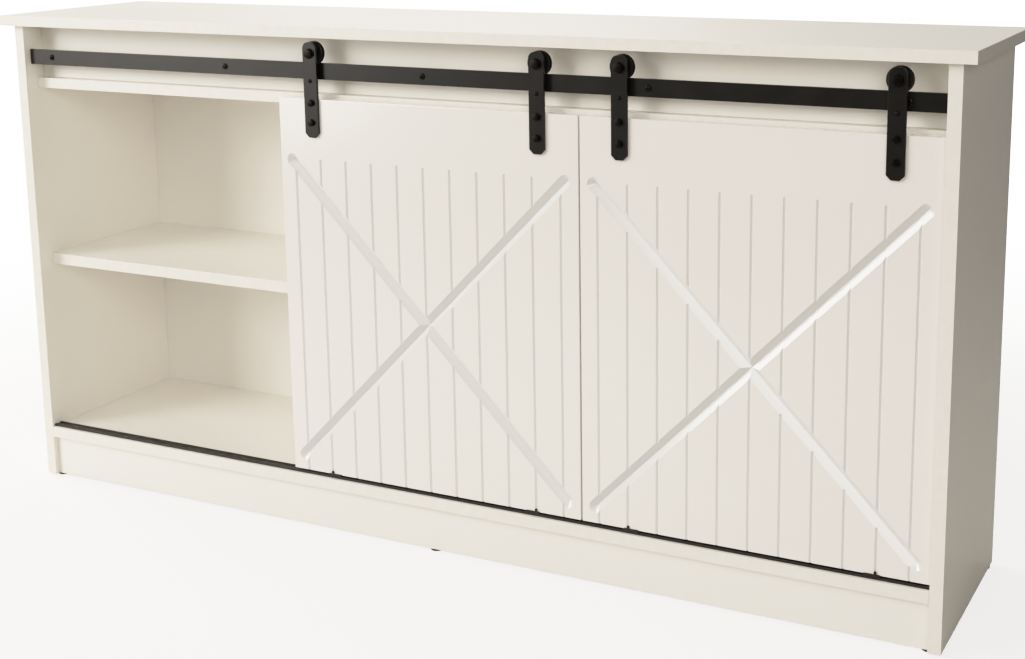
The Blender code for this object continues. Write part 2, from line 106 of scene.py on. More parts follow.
def open_socket(sockets, name):
    """The socket in use with this name, or with this identifier where two share a name."""
    in_use = [socket for socket in sockets if socket.enabled]
    return next(socket for socket in in_use if name in (socket.name, socket.identifier))


def add_node(material, kind, inputs, **settings):
    """Add a node with its settings. An input is a value, or a (node, output name) pair to link."""
    tree = material.node_tree
    node = tree.nodes.new(kind)
    for name, value in settings.items():
        setattr(node, name, value)
    for name, value in inputs.items():
        socket = open_socket(node.inputs, name)
        if isinstance(value, tuple) and isinstance(value[0], bpy.types.Node):
            tree.links.new(open_socket(value[0].outputs, value[1]), socket)
        else:
            socket.default_value = value
    return node


def melamine():
    """Melamine-faced board: an even warm white, satin, broken up only by its fine pearl emboss."""
    board = new_material("melamine_pearl_white")
    places = add_node(board, "ShaderNodeTexCoord", {})
    clouds = add_node(
        board,
        "ShaderNodeTexNoise",
        {"Vector": (places, "Object"), "Scale": 1 / PRESS_CLOUDS, "Detail": 3.0},
    )
    tone = add_node(
        board,
        "ShaderNodeMix",
        {"Factor": (clouds, "Fac"), "A": linear(MELAMINE_COLOUR), "B": linear(MELAMINE_SHADE)},
        data_type="RGBA",
    )
    grain = add_node(
        board,
        "ShaderNodeTexNoise",
        {"Vector": (places, "Object"), "Scale": 1 / PEARL_GRAIN, "Detail": 2.0, "Roughness": 0.6},
    )
    emboss = add_node(
        board,
        "ShaderNodeBump",
        {"Height": (grain, "Fac"), "Strength": 0.5, "Distance": PEARL_DEPTH},
    )
    gloss = add_node(
        board,
        "ShaderNodeMapRange",
        {"Value": (grain, "Fac"), "To Min": 0.38, "To Max": 0.50},
    )
    shader = add_node(
        board,
        "ShaderNodeBsdfPrincipled",
        {
            "Base Color": (tone, "Result"),
            "Roughness": (gloss, "Result"),
            "Normal": (emboss, "Normal"),
            "IOR": 1.5,
        },
    )
    add_node(board, "ShaderNodeOutputMaterial", {"Surface": (shader, "BSDF")})
    return board


def cover(node, material):
    """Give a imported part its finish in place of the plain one."""
    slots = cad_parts[node].material_slots
    for slot in slots:
        slot.material = material
    if not slots:
        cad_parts[node].data.materials.append(material)


melamine_board = melamine()
for board_name in CARCASS_BOARDS:
    cover(board_name, melamine_board)

# --- Edge tape -----------------------------------------------------------------------------------
# Thin ABS tape, glued hot to every cut edge that shows, then trimmed with a small radius. It is
# smoother and glossier than the faces, which draws each board's front as a crisp line.

TAPE_THICKNESS = 0.0003
TAPE_RADIUS = 0.00025
TAPE_COLOUR = "#E9E3D8"
TAPE_RIPPLE = 0.012
CREASE_ANGLE = 20
MERGE_DISTANCE = 0.000001
FRONT_TAPED = (
    "top_panel",
    "left_side_panel",
    "right_side_panel",
    "bottom_panel",
    "ceiling_panel",
    "left_divider",
    "right_divider",
    "left_shelf",
    "middle_shelf",
    "right_shelf",
)


def edge_tape():
    """ABS tape: the board's white, smoother and glossier, with faint ripples from the hot glue."""
    tape = new_material("abs_edge_tape_white")
    places = add_node(tape, "ShaderNodeTexCoord", {})
    ripples = add_node(
        tape,
        "ShaderNodeTexNoise",
        {"Vector": (places, "Object"), "Scale": 1 / TAPE_RIPPLE, "Detail": 1.0},
    )
    tone = add_node(
        tape,
        "ShaderNodeMix",
        {"Factor": (ripples, "Fac"), "A": linear(TAPE_COLOUR), "B": linear(MELAMINE_COLOUR)},
        data_type="RGBA",
    )
    ripple = add_node(
        tape,
        "ShaderNodeBump",
        {"Height": (ripples, "Fac"), "Strength": 0.3, "Distance": 0.0001},
    )
    shader = add_node(
        tape,
        "ShaderNodeBsdfPrincipled",
        {
            "Base Color": (tone, "Result"),
            "Roughness": 0.34,
            "Normal": (ripple, "Normal"),
            "IOR": 1.52,
        },
    )
    add_node(tape, "ShaderNodeOutputMaterial", {"Surface": (shader, "BSDF")})
    return tape


def box_shape(low, high):
    """Bmesh of a box between two corners."""
    shape = bmesh.new()
    size = [far - near for near, far in zip(low, high)]
    middle = [(far + near) / 2 for near, far in zip(low, high)]
    matrix = Matrix.Translation(middle) @ Matrix.Diagonal((*size, 1.0))
    bmesh.ops.create_cube(shape, size=1.0, matrix=matrix)
    return shape


def round_edges(shape, edges, radius, segments=2):
    """Round or chamfer some edges of a bmesh, with one segment for a flat chamfer."""
    bmesh.ops.bevel(
        shape,
        geom=list(edges),
        offset=radius,
        offset_type="OFFSET",
        affect="EDGES",
        segments=segments,
        profile=0.5,
        material=-1,
        clamp_overlap=True,
    )


def keep_piece(shape, name, material, body, stands_for=()):
    """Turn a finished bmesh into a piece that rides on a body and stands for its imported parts."""
    bmesh.ops.remove_doubles(shape, verts=shape.verts, dist=MERGE_DISTANCE)
    bmesh.ops.recalc_face_normals(shape, faces=shape.faces)
    mesh = bpy.data.meshes.new(name)
    shape.to_mesh(mesh)
    shape.free()
    mesh.materials.append(material)
    mesh.shade_smooth()
    mesh.set_sharp_from_angle(angle=math.radians(CREASE_ANGLE))
    piece = bpy.data.objects.new(name, mesh)
    bpy.context.scene.collection.objects.link(piece)
    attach(piece, body)
    if stands_for:
        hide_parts(*stands_for)
    return piece


def tape_edge(node, side, material):
    """Strip of tape over one edge of a board: its front, left, right or back."""
    low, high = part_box(node)
    if side == "front":
        high.y = low.y
        low.y -= TAPE_THICKNESS
    elif side == "back":
        low.y = high.y
        high.y += TAPE_THICKNESS
    elif side == "left":
        high.x = low.x
        low.x -= TAPE_THICKNESS
    else:
        low.x = high.x
        high.x += TAPE_THICKNESS
    shape = box_shape(low, high)
    round_edges(shape, shape.edges, TAPE_RADIUS)
    keep_piece(shape, f"{node}_{side}_tape", material, "carcass")


tape_material = edge_tape()
for board_name in FRONT_TAPED:
    tape_edge(board_name, "front", tape_material)
for end in ("left", "right", "back"):
    tape_edge("top_panel", end, tape_material)

# --- Back sheet ----------------------------------------------------------------------------------
# Three-millimetre hardboard, painted cream on the face that closes the bays and left as raw brown
# fibre behind. It slides into the side panels' grooves and is nailed to the boards in front of it.

SHEET_PAINT = "#F5F1E9"
FIBRE_LIGHT = "#A98A63"
FIBRE_DARK = "#8C6E4C"
FIBRE_LENGTH = 0.004
PAINT_DEPTH = 0.0002
NAIL_HEAD_RADIUS = 0.0022
NAIL_HEAD_HEIGHT = 0.0007
NAIL_RIM_HEIGHT = 0.00028
NAIL_CROWN_RADIUS = 0.00154
NAIL_SPACING = 0.12
ZINC_COLOUR = "#B9BBB8"
ZINC_TUMBLING = 0.0008


def hardboard():
    """Hardboard: thin cream paint over a faint felt texture in front, mottled brown fibre behind."""
    sheet = new_material("hardboard_painted_one_side")
    low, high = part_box("back_panel")
    places = add_node(sheet, "ShaderNodeTexCoord", {})
    depth = add_node(sheet, "ShaderNodeSeparateXYZ", {"Vector": (places, "Object")})
    behind = add_node(
        sheet,
        "ShaderNodeMapRange",
        {"Value": (depth, "Y"), "From Min": low.y + PAINT_DEPTH, "From Max": high.y - PAINT_DEPTH},
    )
    fibres = add_node(
        sheet,
        "ShaderNodeTexNoise",
        {
            "Vector": (places, "Object"),
            "Scale": 1 / FIBRE_LENGTH,
            "Detail": 6.0,
            "Roughness": 0.7,
            "Distortion": 1.5,
        },
    )
    fibre_tone = add_node(
        sheet,
        "ShaderNodeMix",
        {"Factor": (fibres, "Fac"), "A": linear(FIBRE_DARK), "B": linear(FIBRE_LIGHT)},
        data_type="RGBA",
    )
    tone = add_node(
        sheet,
        "ShaderNodeMix",
        {"Factor": (behind, "Result"), "A": linear(SHEET_PAINT), "B": (fibre_tone, "Result")},
        data_type="RGBA",
    )
    felt = add_node(
        sheet,
        "ShaderNodeBump",
        {"Height": (fibres, "Fac"), "Strength": 0.35, "Distance": 0.00008},
    )
    gloss = add_node(
        sheet,
        "ShaderNodeMapRange",
        {"Value": (behind, "Result"), "To Min": 0.55, "To Max": 0.9},
    )
    shader = add_node(
        sheet,
        "ShaderNodeBsdfPrincipled",
        {
            "Base Color": (tone, "Result"),
            "Roughness": (gloss, "Result"),
            "Normal": (felt, "Normal"),
        },
    )
    add_node(sheet, "ShaderNodeOutputMaterial", {"Surface": (shader, "BSDF")})
    return sheet


def zinc_steel():
    """Zinc-plated wire nails: pale grey metal, slightly uneven from tumbling."""
    zinc = new_material("zinc_plated_steel")
    places = add_node(zinc, "ShaderNodeTexCoord", {})
    tumbling = add_node(
        zinc,
        "ShaderNodeTexNoise",
        {"Vector": (places, "Object"), "Scale": 1 / ZINC_TUMBLING, "Detail": 3.0},
    )
    gloss = add_node(
        zinc,
        "ShaderNodeMapRange",
        {"Value": (tumbling, "Fac"), "To Min": 0.3, "To Max": 0.5},
    )
    shader = add_node(
        zinc,
        "ShaderNodeBsdfPrincipled",
        {"Base Color": linear(ZINC_COLOUR), "Metallic": 1.0, "Roughness": (gloss, "Result")},
    )
    add_node(zinc, "ShaderNodeOutputMaterial", {"Surface": (shader, "BSDF")})
    return zinc


def turn(shape, profile, centre, steps):
    """Spin a profile of (radius, distance along +Y) points round the Y axis through a centre."""
    corners = [
        shape.verts.new((centre.x + radius, centre.y + along, centre.z)) for radius, along in profile
    ]
    edges = [shape.edges.new(pair) for pair in zip(corners, corners[1:])]
    bmesh.ops.spin(
        shape,
        geom=corners + edges,
        cent=centre,
        axis=(0, 1, 0),
        dvec=(0, 0, 0),
        angle=2 * math.pi,
        steps=steps,
        use_merge=True,
    )


def spaced(low, high, spacing):
    """Places between two limits, half a step in from each, about one spacing apart."""
    count = max(1, round((high - low) / spacing))
    return [low + (high - low) * (number + 0.5) / count for number in range(count)]


def nail_heads():
    """Where the nails go: along the base, the ceiling, and both dividers."""
    sheet_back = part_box("back_panel")[1].y
    heads = []
    for board in ("bottom_panel", "ceiling_panel"):
        low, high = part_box(board)
        level = (low.z + high.z) / 2
        heads += [Vector((x, sheet_back, level)) for x in spaced(low.x, high.x, NAIL_SPACING)]
    for board in ("left_divider", "right_divider"):
        low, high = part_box(board)
        middle = (low.x + high.x) / 2
        heads += [Vector((middle, sheet_back, z)) for z in spaced(low.z, high.z, NAIL_SPACING)]
    return heads


cover("back_panel", hardboard())
nail_profile = [
    (0, 0),
    (NAIL_HEAD_RADIUS, 0),
    (NAIL_HEAD_RADIUS, NAIL_RIM_HEIGHT),
    (NAIL_CROWN_RADIUS, NAIL_HEAD_HEIGHT),
    (0, NAIL_HEAD_HEIGHT),
]
nails = bmesh.new()
for place in nail_heads():
    turn(nails, nail_profile, place, steps=12)
keep_piece(nails, "back_panel_nails", zinc_steel(), "carcass")

# --- Glides --------------------------------------------------------------------------------------
# Round black polypropylene glides, nailed under the side panels and under the middle of the plinth.
# Moulded with a rounded sole, so that the sideboard slides on a floor without catching.

GLIDES = (
    "left_front_foot",
    "middle_front_foot",
    "right_front_foot",
    "left_back_foot",
    "right_back_foot",
)
GLIDE_SOLE_RADIUS = 0.0009
# Corners closer than this to a level belong to it.
LEVEL_SLACK = 0.0001
GLOSS_SPREAD = 0.06
PLASTIC_BLACK = "#0B0A0A"
PLASTIC_SHADE = "#141312"


def moulded_plastic(name, roughness, grain):
    """Moulded black plastic: dark and dull, with the fine spark-erosion grain of its mould."""
    plastic = new_material(name)
    places = add_node(plastic, "ShaderNodeTexCoord", {})
    sparks = add_node(
        plastic,
        "ShaderNodeTexNoise",
        {"Vector": (places, "Object"), "Scale": 1 / grain, "Detail": 3.0},
    )
    tone = add_node(
        plastic,
        "ShaderNodeMix",
        {"Factor": (sparks, "Fac"), "A": linear(PLASTIC_BLACK), "B": linear(PLASTIC_SHADE)},
        data_type="RGBA",
    )
    texture = add_node(
        plastic,
        "ShaderNodeBump",
        {"Height": (sparks, "Fac"), "Strength": 0.4, "Distance": 0.00005},
    )
    gloss = add_node(
        plastic,
        "ShaderNodeMapRange",
        {
            "Value": (sparks, "Fac"),
            "To Min": roughness - GLOSS_SPREAD,
            "To Max": roughness + GLOSS_SPREAD,
        },
    )
    shader = add_node(
        plastic,
        "ShaderNodeBsdfPrincipled",
        {
            "Base Color": (tone, "Result"),
            "Roughness": (gloss, "Result"),
            "Normal": (texture, "Normal"),
        },
    )
    add_node(plastic, "ShaderNodeOutputMaterial", {"Surface": (shader, "BSDF")})
    return plastic


# Mould grain is a tenth of a millimetre, too fine to show, so every plastic's is drawn coarser.
glide_plastic = moulded_plastic("polypropylene_black", 0.55, 0.0012)
for glide in GLIDES:
    low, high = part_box(glide)
    glide_radius = (high.x - low.x) / 2
    shape = bmesh.new()
    bmesh.ops.create_cone(
        shape,
        cap_ends=True,
        segments=40,
        radius1=glide_radius,
        radius2=glide_radius,
        depth=high.z - low.z,
        matrix=Matrix.Translation((low + high) / 2),
    )
    sole = [edge for edge in shape.edges if all(v.co.z < low.z + LEVEL_SLACK for v in edge.verts)]
    round_edges(shape, sole, GLIDE_SOLE_RADIUS, segments=3)
    keep_piece(shape, f"{glide}_glide", glide_plastic, "carcass", [glide])

# --- Bottom track --------------------------------------------------------------------------------
# Black PVC strip, extruded with a shallow channel between two rounded ribs, and glued along the
# front of the bottom panel. The doors' clips pass just above it.

TRACK_CHANNEL_DEPTH = 0.0014
TRACK_RIB = 0.0035
TRACK_ROUNDING = 0.0007

track_low, track_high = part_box("bottom_track")
channel_floor = track_high.z - TRACK_CHANNEL_DEPTH
track_section = (
    (track_low.y, track_low.z),
    (track_high.y, track_low.z),
    (track_high.y, track_high.z),
    (track_high.y - TRACK_RIB, track_high.z),
    (track_high.y - TRACK_RIB, channel_floor),
    (track_low.y + TRACK_RIB, channel_floor),
    (track_low.y + TRACK_RIB, track_high.z),
    (track_low.y, track_high.z),
)


def extrude_along_x(section, start, length):
    """Bmesh of a (Y, Z) section drawn out along X from a start."""
    shape = bmesh.new()
    outline = shape.faces.new([shape.verts.new((start, y, z)) for y, z in section])
    swept = bmesh.ops.extrude_face_region(shape, geom=[outline])
    far_corners = [item for item in swept["geom"] if isinstance(item, bmesh.types.BMVert)]
    bmesh.ops.translate(shape, verts=far_corners, vec=(length, 0, 0))
    return shape


track_shape = extrude_along_x(track_section, track_low.x, track_high.x - track_low.x)
top_edges = [e for e in track_shape.edges if all(v.co.z > channel_floor + LEVEL_SLACK for v in e.verts)]
rib_edges = [e for e in top_edges if e.calc_length() > track_high.y - track_low.y]
round_edges(track_shape, rib_edges, TRACK_ROUNDING, segments=3)
track_plastic = moulded_plastic("pvc_extruded_black", 0.42, 0.0015)
keep_piece(
    track_shape, "bottom_track_strip", track_plastic, "carcass", ["bottom_track"]
)

# --- Rail and its fixings ------------------------------------------------------------------------
# Flat steel bar, sawn, drilled and powder-coated black. Button-head screws hold it off the apron on
# short tube standoffs, so that the wheels have room behind the straps.

POWDER_BLACK = "#0B0A08"
POWDER_WORN = "#15120F"
# Melted powder ripples over about half a millimetre, which would not show, so it is drawn coarser.
POWDER_GRAIN = 0.0012
POWDER_PATCH = 0.035
OXIDE_BLACK = "#1C1917"
OXIDE_BROWN = "#2B2723"
OXIDE_BLOTCH = 0.0015
SOCKET_ACROSS = 0.0030
SOCKET_DEPTH = 0.0013
SOCKET_LEAD_IN = 1.25
DOME_STEPS = 6
RAIL_SHANK_RADIUS = 0.0025
RAIL_FIXINGS = range(1, 6)
HEXAGON_SPREAD = 1 / math.cos(math.pi / 6)


def powder_coat():
    """Powder-coated steel: near-black and satin, with the fine orange peel of melted powder."""
    coat = new_material("powder_coated_steel_black")
    places = add_node(coat, "ShaderNodeTexCoord", {})
    peel = add_node(
        coat,
        "ShaderNodeTexNoise",
        {"Vector": (places, "Object"), "Scale": 1 / POWDER_GRAIN, "Detail": 2.0},
    )
    patches = add_node(
        coat,
        "ShaderNodeTexNoise",
        {"Vector": (places, "Object"), "Scale": 1 / POWDER_PATCH, "Detail": 4.0},
    )
    tone = add_node(
        coat,
        "ShaderNodeMix",
        {"Factor": (patches, "Fac"), "A": linear(POWDER_BLACK), "B": linear(POWDER_WORN)},
        data_type="RGBA",
    )
    texture = add_node(
        coat,
        "ShaderNodeBump",
        {"Height": (peel, "Fac"), "Strength": 0.35, "Distance": 0.00005},
    )
    gloss = add_node(
        coat,
        "ShaderNodeMapRange",
        {"Value": (patches, "Fac"), "To Min": 0.28, "To Max": 0.36},
    )
    shader = add_node(
        coat,
        "ShaderNodeBsdfPrincipled",
        {
            "Base Color": (tone, "Result"),
            "Roughness": (gloss, "Result"),
            "Normal": (texture, "Normal"),
            "IOR": 1.5,
            "Specular IOR Level": 0.38,
        },
    )
    add_node(coat, "ShaderNodeOutputMaterial", {"Surface": (shader, "BSDF")})
    return coat


def blackened_steel():
    """Black-oxide bolts and screws: dark metal with a soft oily gleam."""
    oxide = new_material("black_oxide_steel")
    places = add_node(oxide, "ShaderNodeTexCoord", {})
    blotches = add_node(
        oxide,
        "ShaderNodeTexNoise",
        {"Vector": (places, "Object"), "Scale": 1 / OXIDE_BLOTCH, "Detail": 4.0},
    )
    tone = add_node(
        oxide,
        "ShaderNodeMix",
        {"Factor": (blotches, "Fac"), "A": linear(OXIDE_BLACK), "B": linear(OXIDE_BROWN)},
        data_type="RGBA",
    )
    gloss = add_node(
        oxide,
        "ShaderNodeMapRange",
        {"Value": (blotches, "Fac"), "To Min": 0.25, "To Max": 0.4},
    )
    shader = add_node(
        oxide,
        "ShaderNodeBsdfPrincipled",
        {"Base Color": (tone, "Result"), "Metallic": 1.0, "Roughness": (gloss, "Result")},
    )
    add_node(oxide, "ShaderNodeOutputMaterial", {"Surface": (shader, "BSDF")})
    return oxide


powder_coated = powder_coat()
black_oxide = blackened_steel()
cover("rail", powder_coated)
for number in RAIL_FIXINGS:
    cover(f"rail_standoff_{number}", powder_coated)


def along_y(place):
    """Matrix that lays a shape made round Z along Y instead, with its middle at a place."""
    return Matrix.Translation(place) @ Matrix.Rotation(math.pi / 2, 4, "X")


def dome_profile(head_radius, head_height, mouth, shank_radius, shank_length):
    """Rounded head from its mouth or crown out to its rim and in to the shank's end behind it."""
    profile = []
    start = math.asin(mouth / head_radius)
    for step in range(DOME_STEPS + 1):
        angle = start + (math.pi / 2 - start) * step / DOME_STEPS
        profile.append((head_radius * math.sin(angle), -head_height * math.cos(angle)))
    return profile + [
        (head_radius, 0),
        (shank_radius, 0),
        (shank_radius, shank_length),
        (0, shank_length),
    ]


def button_head(centre, head_radius, head_height, shank_radius, shank_length):
    """Domed screw with a hexagon socket, its underside at a centre on the rail's face."""
    shape = bmesh.new()
    mouth = SOCKET_ACROSS / 2 * SOCKET_LEAD_IN
    profile = dome_profile(head_radius, head_height, mouth, shank_radius, shank_length)
    turn(shape, profile, centre, steps=24)
    bmesh.ops.remove_doubles(shape, verts=shape.verts, dist=MERGE_DISTANCE)
    rim = [edge for edge in shape.edges if edge.is_boundary]
    mouth_level = centre.y + profile[0][1]
    socket = bmesh.ops.create_circle(
        shape,
        cap_ends=False,
        segments=6,
        radius=SOCKET_ACROSS / 2 * HEXAGON_SPREAD,
        matrix=along_y((centre.x, mouth_level, centre.z)),
    )
    socket_edges = list({edge for vert in socket["verts"] for edge in vert.link_edges})
    bmesh.ops.bridge_loops(shape, edges=rim + socket_edges)
    wall = bmesh.ops.extrude_edge_only(shape, edges=socket_edges)
    deep_corners = [item for item in wall["geom"] if isinstance(item, bmesh.types.BMVert)]
    deep_edges = [item for item in wall["geom"] if isinstance(item, bmesh.types.BMEdge)]
    bmesh.ops.translate(shape, verts=deep_corners, vec=(0, SOCKET_DEPTH, 0))
    floor_edges = [edge for edge in deep_edges if edge.is_boundary]
    bmesh.ops.contextual_create(shape, geom=floor_edges)
    return shape


rail_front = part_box("rail")[0].y
for number in RAIL_FIXINGS:
    screw = f"rail_screw_{number}"
    low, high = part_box(screw)
    seat = Vector(((low.x + high.x) / 2, rail_front, (low.z + high.z) / 2))
    head_radius = (high.x - low.x) / 2
    head_height = rail_front - low.y
    head = button_head(seat, head_radius, head_height, RAIL_SHANK_RADIUS, high.y - rail_front)
    keep_piece(head, f"{screw}_button_head", black_oxide, "carcass", [screw])

# --- Doors ---------------------------------------------------------------------------------------
# Medium-density fibreboard, routed with upright V-grooves and a wide crossed pair, then wrapped in
# white PVC foil under vacuum. The foil softens every lip and takes a satin gleam in the grooves.

DOORS = ("left_door", "right_door")
FOIL_COLOUR = "#F2EDE7"
FOIL_SHADE = "#F0EAE4"
FOIL_RIPPLE = 0.030
FOIL_CLOUDS = 0.140
FOIL_GROOVE_PAINTED_SHADE = "#EAE9E6"
GROOVE_START = 0.0006
GROOVE_SLACK = 0.5


def vacuum_foil():
    """Vacuum-pressed PVC foil: smooth, satin and faintly rippled, with painted shade in its grooves."""
    foil = new_material("pvc_foil_satin_white")
    door_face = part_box("right_door_panel")[0].y
    places = add_node(foil, "ShaderNodeTexCoord", {})
    clouds = add_node(
        foil,
        "ShaderNodeTexNoise",
        {"Vector": (places, "Object"), "Scale": 1 / FOIL_CLOUDS, "Detail": 2.0},
    )
    tone = add_node(
        foil,
        "ShaderNodeMix",
        {"Factor": (clouds, "Fac"), "A": linear(FOIL_COLOUR), "B": linear(FOIL_SHADE)},
        data_type="RGBA",
    )
    # Below the face, the grooves are painted a greyer, cooler white: painted shade in the recesses.
    depth = add_node(foil, "ShaderNodeSeparateXYZ", {"Vector": (places, "Object")})
    groove_shade_mask = add_node(
        foil,
        "ShaderNodeMapRange",
        {"Value": (depth, "Y"), "From Min": door_face, "From Max": door_face + GROOVE_START},
    )
    groove_shaded_tone = add_node(
        foil,
        "ShaderNodeMix",
        {"Factor": (groove_shade_mask, "Result"), "A": (tone, "Result"), "B": linear(FOIL_GROOVE_PAINTED_SHADE)},
        data_type="RGBA",
    )
    ripples = add_node(
        foil,
        "ShaderNodeTexNoise",
        {"Vector": (places, "Object"), "Scale": 1 / FOIL_RIPPLE, "Detail": 2.0},
    )
    surface = add_node(foil, "ShaderNodeNewGeometry", {})
    facing = add_node(foil, "ShaderNodeSeparateXYZ", {"Vector": (surface, "Normal")})
    slack = add_node(
        foil,
        "ShaderNodeMapRange",
        {"Value": (facing, "Y"), "From Min": 0.0, "From Max": -1.0, "To Max": GROOVE_SLACK},
    )
    rounded = add_node(
        foil,
        "ShaderNodeMix",
        {"Factor": (slack, "Result"), "A": (surface, "Normal"), "B": (0.0, -1.0, 0.0)},
        data_type="VECTOR",
    )
    straight = add_node(
        foil, "ShaderNodeVectorMath", {"Vector": (rounded, "Result")}, operation="NORMALIZE"
    )
    ripple = add_node(
        foil,
        "ShaderNodeBump",
        {
            "Height": (ripples, "Fac"),
            "Strength": 0.3,
            "Distance": 0.0001,
            "Normal": (straight, "Vector"),
        },
    )
    gloss = add_node(
        foil,
        "ShaderNodeMapRange",
        {"Value": (ripples, "Fac"), "To Min": 0.17, "To Max": 0.23},
    )
    shader = add_node(
        foil,
        "ShaderNodeBsdfPrincipled",
        {
            "Base Color": (groove_shaded_tone, "Result"),
            "Roughness": (gloss, "Result"),
            "Normal": (ripple, "Normal"),
            "IOR": 1.54,
            "Coat Weight": 0.8,
            "Coat Roughness": 0.14,
            "Coat Normal": (straight, "Vector"),
        },
    )
    add_node(foil, "ShaderNodeOutputMaterial", {"Surface": (shader, "BSDF")})
    return foil


door_foil = vacuum_foil()
for door in DOORS:
    cover(f"{door}_panel", door_foil)

# --- Hanger straps -------------------------------------------------------------------------------
# Flat steel bar, sheared with cut corners at the foot and ground round at the top, then drilled and
# powder-coated. Two of them carry each door.

STRAP_TOP_ROUNDING = 0.0095
STRAP_FOOT_CHAMFER = 0.0065
STRAP_EDGE_ROUNDING = 0.0005
HANGERS = [(door, side) for door in DOORS for side in ("left", "right")]


def corner_edges(shape, level):
    """Edges that run from front to back at one level: a flat bar's end corners."""
    at_level = [e for e in shape.edges if all(abs(v.co.z - level) < LEVEL_SLACK for v in e.verts)]
    return [e for e in at_level if abs(e.verts[0].co.y - e.verts[1].co.y) > LEVEL_SLACK]


def strap_shape(low, high):
    """Flat bar between two corners, with rounded top corners, cut foot corners and eased edges."""
    shape = box_shape(low, high)
    round_edges(shape, corner_edges(shape, low.z), STRAP_FOOT_CHAMFER, segments=1)
    round_edges(shape, corner_edges(shape, high.z), STRAP_TOP_ROUNDING, segments=10)
    rims = [e for e in shape.edges if abs(e.verts[0].co.y - e.verts[1].co.y) < LEVEL_SLACK]
    round_edges(shape, rims, STRAP_EDGE_ROUNDING, segments=2)
    return shape


for door, side in HANGERS:
    strap = f"{door}_{side}_strap"
    bar = strap_shape(*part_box(strap))
    keep_piece(bar, f"{strap}_bar", powder_coated, door, [strap])

# --- Wheels --------------------------------------------------------------------------------------
# Moulded black nylon wheels with a flange on each side of the tread, a raised hub and a dished web.
# They roll on the rail's top edge, behind the straps.

WHEEL_FLANGE = 0.0011
WHEEL_LIP = 0.000385
WHEEL_TREAD_RADIUS = 0.0143
WHEEL_BORE = 0.0042
HUB_RADIUS = 0.0078
WEB_RADIUS = 0.0128
WEB_DISH = 0.0009

nylon = moulded_plastic("nylon_black", 0.38, 0.0016)


def wheel_profile(flange_radius, width):
    """Section from the bore's front edge round the front web, the tread and the back web."""
    front = [
        (WHEEL_BORE, 0),
        (HUB_RADIUS - WHEEL_LIP, 0),
        (HUB_RADIUS, WHEEL_LIP),
        (HUB_RADIUS, WEB_DISH),
        (WEB_RADIUS, WEB_DISH),
        (WEB_RADIUS, WHEEL_LIP),
        (WEB_RADIUS + WHEEL_LIP, 0),
        (flange_radius - WHEEL_LIP, 0),
        (flange_radius, WHEEL_LIP),
        (flange_radius, WHEEL_FLANGE - WHEEL_LIP),
        (flange_radius - WHEEL_LIP, WHEEL_FLANGE),
        (WHEEL_TREAD_RADIUS, WHEEL_FLANGE),
    ]
    back = [(radius, width - along) for radius, along in reversed(front)]
    return front + back + front[:1]


for door, side in HANGERS:
    wheel = f"{door}_{side}_wheel"
    low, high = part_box(wheel)
    centre = Vector(((low.x + high.x) / 2, low.y, (low.z + high.z) / 2))
    shape = bmesh.new()
    turn(shape, wheel_profile((high.x - low.x) / 2, high.y - low.y), centre, steps=64)
    keep_piece(shape, f"{wheel}_moulding", nylon, wheel, [wheel])

# --- Axle bolts ----------------------------------------------------------------------------------
# Hexagon bolts through strap and wheel, with a washer under the head, a spacer collar between strap
# and wheel, and a nut behind. Their corners are chamfered, which rounds the glint on each head.

WASHER_RADIUS = 0.0078
WASHER_THICKNESS = 0.0010
HEX_CHAMFER = 0.0007
AXLE_RADIUS = 0.0040
COLLAR_RADIUS = 0.0062
RUNNING_GAP = 0.0002
SHANK_INSET = 0.0015
WASHER_CHAMFER = 0.0002


def hexagon(shape, centre, across_flats, near, far):
    """Chamfered hexagon between two places along Y, its corners pointing up and down."""
    block = bmesh.ops.create_cone(
        shape,
        cap_ends=True,
        segments=6,
        radius1=across_flats / 2 * HEXAGON_SPREAD,
        radius2=across_flats / 2 * HEXAGON_SPREAD,
        depth=far - near,
        matrix=along_y((centre.x, (near + far) / 2, centre.z)),
    )
    edges = {edge for vert in block["verts"] for edge in vert.link_edges}
    face_edges = [e for e in edges if all(abs(v.co.y - near) < LEVEL_SLACK for v in e.verts)]
    round_edges(shape, face_edges, HEX_CHAMFER, segments=3)


for door, side in HANGERS:
    bolt = f"{door}_{side}_axle_bolt"
    low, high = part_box(bolt)
    strap_low, strap_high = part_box(f"{door}_{side}_strap")
    wheel_low, wheel_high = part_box(f"{door}_{side}_wheel")
    across = high.x - low.x
    axis = Vector(((low.x + high.x) / 2, strap_low.y, (low.z + high.z) / 2))
    shape = bmesh.new()
    hexagon(shape, axis, across, low.y, strap_low.y - WASHER_THICKNESS)
    hexagon(shape, axis, across, wheel_high.y + RUNNING_GAP, high.y)
    shank_end = high.y - axis.y - SHANK_INSET
    shank = [
        (0, -SHANK_INSET),
        (AXLE_RADIUS, -SHANK_INSET),
        (AXLE_RADIUS, shank_end),
        (0, shank_end),
    ]
    turn(shape, shank, axis, steps=24)
    collar_front = strap_high.y - axis.y + RUNNING_GAP
    collar_back = wheel_low.y - axis.y - RUNNING_GAP
    collar = [
        (AXLE_RADIUS, collar_front),
        (COLLAR_RADIUS, collar_front),
        (COLLAR_RADIUS, collar_back),
        (AXLE_RADIUS, collar_back),
    ]
    turn(shape, collar, axis, steps=24)
    keep_piece(shape, f"{bolt}_hexagon", black_oxide, door, [bolt])
    washer = bmesh.new()
    ring = [
        (AXLE_RADIUS, 0),
        (AXLE_RADIUS, -WASHER_THICKNESS),
        (WASHER_RADIUS - WASHER_CHAMFER, -WASHER_THICKNESS),
        (WASHER_RADIUS, -WASHER_THICKNESS + WASHER_CHAMFER),
        (WASHER_RADIUS, 0),
        (AXLE_RADIUS, 0),
    ]
    turn(washer, ring, axis, steps=32)
    keep_piece(washer, f"{bolt}_washer", black_oxide, door)

